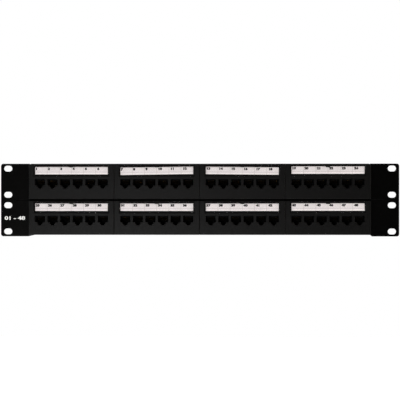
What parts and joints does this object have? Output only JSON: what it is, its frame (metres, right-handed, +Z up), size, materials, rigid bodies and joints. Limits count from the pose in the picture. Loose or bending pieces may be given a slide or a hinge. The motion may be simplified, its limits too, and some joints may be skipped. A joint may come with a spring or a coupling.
{
  "type": "patch panel",
  "caption": "Two-unit 19-inch rack patch panel: a folded steel frame with gangs of modular jacks in front, punch-down blocks behind, and tip-out label covers.",
  "frame": {"origin": "middle of the rack-mounting plane: the rear face of the ears, at half height and half width", "axes": "+X to the right seen from the front, +Z up, the front faces -Y"},
  "size_m": [0.4826, 0.0321, 0.0882],
  "materials": {
    "steel": "black powder coat, satin",
    "housing": "moulded black plastic, fine texture",
    "contacts": "gold-plated spring contacts",
    "board": "green solder mask",
    "block": "moulded black plastic",
    "paper": "white card, printed numbers",
    "clear_cover": "clear moulded polycarbonate",
    "screw": "zinc plated"
  },
  "bodies": {
    "panel": {"steel_frame": "steel", "jack_housing_1": "housing", "jack_housing_2": "housing", "jack_housing_3": "housing", "jack_housing_4": "housing", "jack_housing_5": "housing", "jack_housing_6": "housing", "jack_housing_7": "housing", "jack_housing_8": "housing", "contact_insert_1": "contacts", "contact_insert_2": "contacts", "contact_insert_3": "contacts", "contact_insert_4": "contacts", "contact_insert_5": "contacts", "contact_insert_6": "contacts", "contact_insert_7": "contacts", "contact_insert_8": "contacts", "circuit_board_1": "board", "circuit_board_2": "board", "circuit_board_3": "board", "circuit_board_4": "board", "circuit_board_5": "board", "circuit_board_6": "board", "circuit_board_7": "board", "circuit_board_8": "board", "idc_block_1": "block", "idc_block_2": "block", "idc_block_3": "block", "idc_block_4": "block", "idc_block_5": "block", "idc_block_6": "block", "idc_block_7": "block", "idc_block_8": "block", "label_strip_1": "paper", "label_strip_2": "paper", "label_strip_3": "paper", "label_strip_4": "paper", "label_strip_5": "paper", "label_strip_6": "paper", "label_strip_7": "paper", "label_strip_8": "paper", "module_screw_1": "screw", "module_screw_2": "screw", "module_screw_3": "screw", "module_screw_4": "screw", "module_screw_5": "screw", "module_screw_6": "screw", "module_screw_7": "screw", "module_screw_8": "screw"},
    "cover_1": {"label_cover_1": "clear_cover"},
    "cover_2": {"label_cover_2": "clear_cover"},
    "cover_3": {"label_cover_3": "clear_cover"},
    "cover_4": {"label_cover_4": "clear_cover"},
    "cover_5": {"label_cover_5": "clear_cover"},
    "cover_6": {"label_cover_6": "clear_cover"},
    "cover_7": {"label_cover_7": "clear_cover"},
    "cover_8": {"label_cover_8": "clear_cover"}
  },
  "joints": [
    {"name": "cover_1_tip", "type": "hinge", "parent": "panel", "child": "cover_1", "pos_m": [-0.15525, -0.00455, 0.02925], "axis": [1, 0, 0], "range_deg": [0, 90]},
    {"name": "cover_2_tip", "type": "hinge", "parent": "panel", "child": "cover_2", "pos_m": [-0.05175, -0.00455, 0.02925], "axis": [1, 0, 0], "range_deg": [0, 90]},
    {"name": "cover_3_tip", "type": "hinge", "parent": "panel", "child": "cover_3", "pos_m": [0.05175, -0.00455, 0.02925], "axis": [1, 0, 0], "range_deg": [0, 90]},
    {"name": "cover_4_tip", "type": "hinge", "parent": "panel", "child": "cover_4", "pos_m": [0.15525, -0.00455, 0.02925], "axis": [1, 0, 0], "range_deg": [0, 90]},
    {"name": "cover_5_tip", "type": "hinge", "parent": "panel", "child": "cover_5", "pos_m": [-0.15525, -0.00455, -0.0152], "axis": [1, 0, 0], "range_deg": [0, 90]},
    {"name": "cover_6_tip", "type": "hinge", "parent": "panel", "child": "cover_6", "pos_m": [-0.05175, -0.00455, -0.0152], "axis": [1, 0, 0], "range_deg": [0, 90]},
    {"name": "cover_7_tip", "type": "hinge", "parent": "panel", "child": "cover_7", "pos_m": [0.05175, -0.00455, -0.0152], "axis": [1, 0, 0], "range_deg": [0, 90]},
    {"name": "cover_8_tip", "type": "hinge", "parent": "panel", "child": "cover_8", "pos_m": [0.15525, -0.00455, -0.0152], "axis": [1, 0, 0], "range_deg": [0, 90]}
  ]
}
